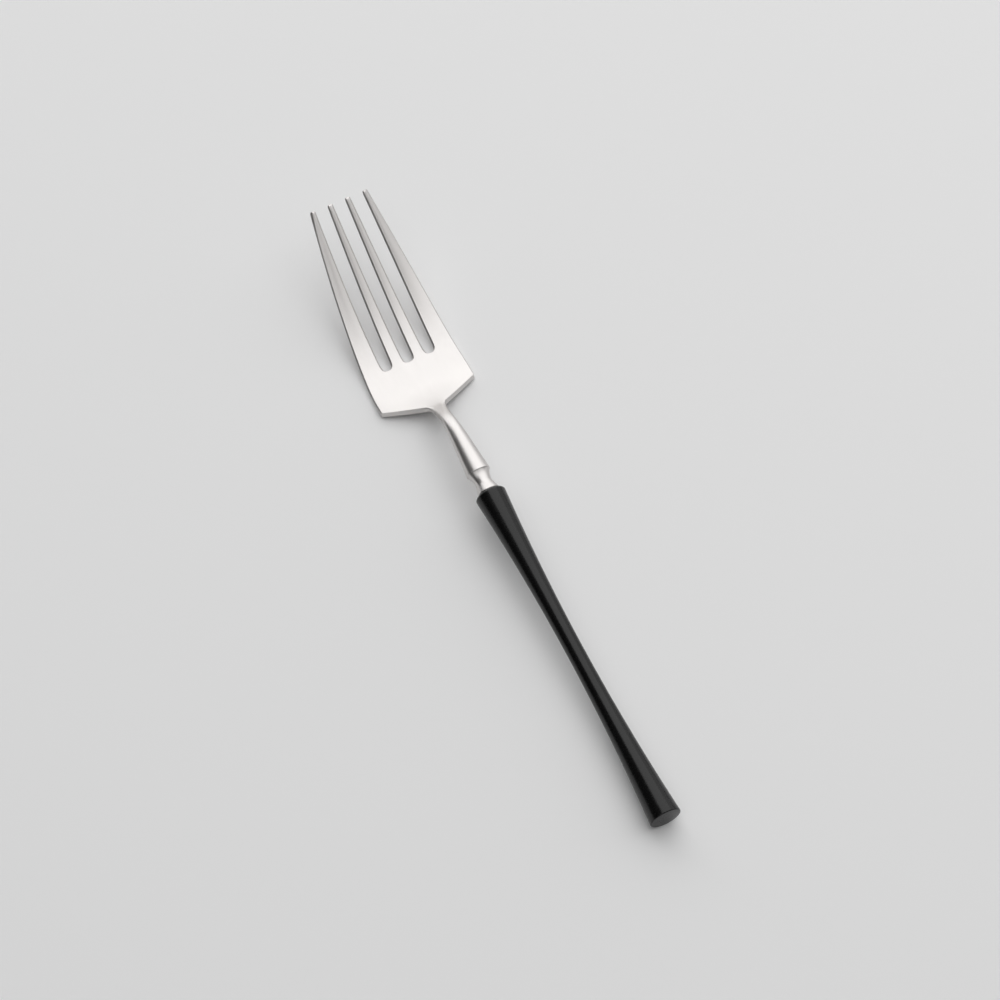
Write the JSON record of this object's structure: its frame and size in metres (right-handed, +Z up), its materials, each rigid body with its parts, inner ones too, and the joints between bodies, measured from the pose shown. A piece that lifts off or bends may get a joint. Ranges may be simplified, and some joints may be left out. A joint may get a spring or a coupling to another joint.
{
  "type": "salad fork",
  "caption": "Slim table fork: a satin steel head whose round neck flares into a collar and cove, on a black hourglass handle with a flat butt.",
  "frame": {"origin": "middle of the bounding box's base, on the table that the fork lies on, face up", "axes": "+Y along the fork towards the tips of the tines, +Z up out of the bowl of the head, +X to the right across the tines"},
  "size_m": [0.0256, 0.1806, 0.0194],
  "materials": {
    "satin_steel": "satin polished",
    "black_resin": "satin",
    "drawn_steel": "as drawn",
    "adhesive": "cured, clear amber"
  },
  "bodies": {
    "root": {"fork_head": "satin_steel", "handle_grip": "black_resin", "core_rod": "drawn_steel", "bond_sleeve": "adhesive"}
  },
  "joints": []
}
